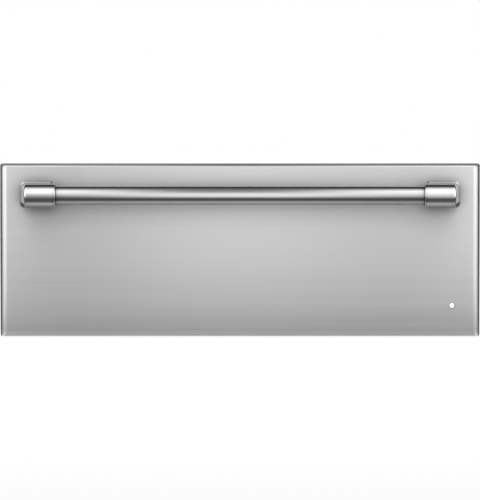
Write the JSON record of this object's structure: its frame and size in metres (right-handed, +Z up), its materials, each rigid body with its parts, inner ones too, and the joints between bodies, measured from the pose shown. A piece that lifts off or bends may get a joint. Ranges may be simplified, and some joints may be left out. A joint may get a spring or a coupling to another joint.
{
  "type": "warming drawer",
  "caption": "Warming drawer with a brushed stainless front, full-width bar handle, ball-bearing slides, heated cavity and a removable pan.",
  "frame": {"origin": "bottom centre of the bounding box, on the surface that the feet stand on", "axes": "+X across the front to the right, +Y from the front to the back, +Z up"},
  "size_m": [0.756, 0.6854, 0.2735],
  "materials": {
    "brushed_stainless": "brushed stainless sheet, grain along the width",
    "polished_steel": "polished stainless",
    "satin_bar": "fine satin stainless tube",
    "galvanised": "galvanised sheet with faint spangle",
    "liner_enamel": "aluminised liner sheet",
    "inner_steel": "plain folded sheet, satin",
    "pan_steel": "deep-drawn stainless, satin",
    "rack_chrome": "chromed wire",
    "zinc": "zinc-plated steel",
    "cage_brass": "rolled brass-coloured cage",
    "ball_steel": "ground steel balls",
    "fastener": "nickel-plated screws",
    "wool": "glass wool",
    "gasket": "woven silicone seal",
    "foot_rubber": "moulded rubber",
    "sheath": "oxidised element sheath",
    "ceramic_white": "ivory ceramic",
    "control_white": "moulded housing",
    "brass_nut": "turned brass",
    "copper": "copper bulb and capillary",
    "lamp_clear": "clear polycarbonate",
    "lamp_ring": "dark bezel ring",
    "wire_red": "silicone-sleeved wire",
    "inlet_black": "moulded thermoset",
    "knob_black": "moulded knob"
  },
  "bodies": {
    "casing": {"base_pan": "galvanised", "left_side_panel": "galvanised", "right_side_panel": "galvanised", "top_cover": "galvanised", "rear_panel": "galvanised", "front_frame": "brushed_stainless", "door_gasket": "gasket", "cavity_liner": "liner_enamel", "glass_wool": "wool", "heating_element": "sheath", "element_clips": "zinc", "thermostat_body": "control_white", "thermostat_nut": "brass_nut", "sensor_tube": "copper", "sensor_clips": "zinc", "thermal_cutout": "ceramic_white", "terminal_block": "ceramic_white", "indicator_lamp": "lamp_clear", "wiring": "wire_red", "power_inlet": "inlet_black", "feet": "foot_rubber", "foot_screws": "fastener", "case_screws": "fastener", "left_slide_outer": "zinc", "right_slide_outer": "zinc", "slide_screws": "fastener"},
    "drawer": {"front_skin": "brushed_stainless", "front_tray": "inner_steel", "front_wool": "wool", "handle_bar": "satin_bar", "left_handle_cap": "polished_steel", "right_handle_cap": "polished_steel", "left_handle_post": "satin_bar", "right_handle_post": "satin_bar", "handle_screws": "fastener", "handle_washers": "fastener", "light_pipe": "lamp_clear", "light_ring": "lamp_ring", "left_arm": "inner_steel", "right_arm": "inner_steel", "cross_bar": "inner_steel", "drawer_screws": "fastener", "pan": "pan_steel", "wire_rack": "rack_chrome", "vent_rivets": "fastener", "left_slide_inner": "zinc", "right_slide_inner": "zinc"},
    "left_middle": {"left_slide_middle": "zinc"},
    "right_middle": {"right_slide_middle": "zinc"},
    "left_outer_retainer": {"left_outer_cage": "cage_brass", "left_outer_balls": "ball_steel"},
    "right_outer_retainer": {"right_outer_cage": "cage_brass", "right_outer_balls": "ball_steel"},
    "left_inner_retainer": {"left_inner_cage": "cage_brass", "left_inner_balls": "ball_steel"},
    "right_inner_retainer": {"right_inner_cage": "cage_brass", "right_inner_balls": "ball_steel"},
    "vent": {"vent_shutter": "brushed_stainless"},
    "knob": {"temperature_knob": "knob_black", "thermostat_shaft": "fastener"}
  },
  "joints": [
    {"name": "drawer_slide", "type": "slide", "parent": "casing", "child": "drawer", "axis": [0, -1, 0], "range_m": [0, 0.48]},
    {"name": "left_middle_slide", "type": "slide", "parent": "casing", "child": "left_middle", "axis": [0, -1, 0], "range_m": [0, 0.24]},
    {"name": "left_outer_retainer_slide", "type": "slide", "parent": "casing", "child": "left_outer_retainer", "axis": [0, -1, 0], "range_m": [0, 0.12]},
    {"name": "left_inner_retainer_slide", "type": "slide", "parent": "casing", "child": "left_inner_retainer", "axis": [0, -1, 0], "range_m": [0, 0.36]},
    {"name": "right_middle_slide", "type": "slide", "parent": "casing", "child": "right_middle", "axis": [0, -1, 0], "range_m": [0, 0.24]},
    {"name": "right_outer_retainer_slide", "type": "slide", "parent": "casing", "child": "right_outer_retainer", "axis": [0, -1, 0], "range_m": [0, 0.12]},
    {"name": "right_inner_retainer_slide", "type": "slide", "parent": "casing", "child": "right_inner_retainer", "axis": [0, -1, 0], "range_m": [0, 0.36]},
    {"name": "vent_slide", "type": "slide", "parent": "drawer", "child": "vent", "axis": [1, 0, 0], "range_m": [0, 0.012]},
    {"name": "knob_turn", "type": "hinge", "parent": "casing", "child": "knob", "pos_m": [0.341, -0.2569, 0.1505], "axis": [0, 1, 0], "range_deg": [0, 270]}
  ],
  "couplings": [
    {"joint": "left_middle_slide", "follows": "drawer_slide", "ratio": 0.5},
    {"joint": "left_outer_retainer_slide", "follows": "drawer_slide", "ratio": 0.25},
    {"joint": "left_inner_retainer_slide", "follows": "drawer_slide", "ratio": 0.75},
    {"joint": "right_middle_slide", "follows": "drawer_slide", "ratio": 0.5},
    {"joint": "right_outer_retainer_slide", "follows": "drawer_slide", "ratio": 0.25},
    {"joint": "right_inner_retainer_slide", "follows": "drawer_slide", "ratio": 0.75}
  ]
}
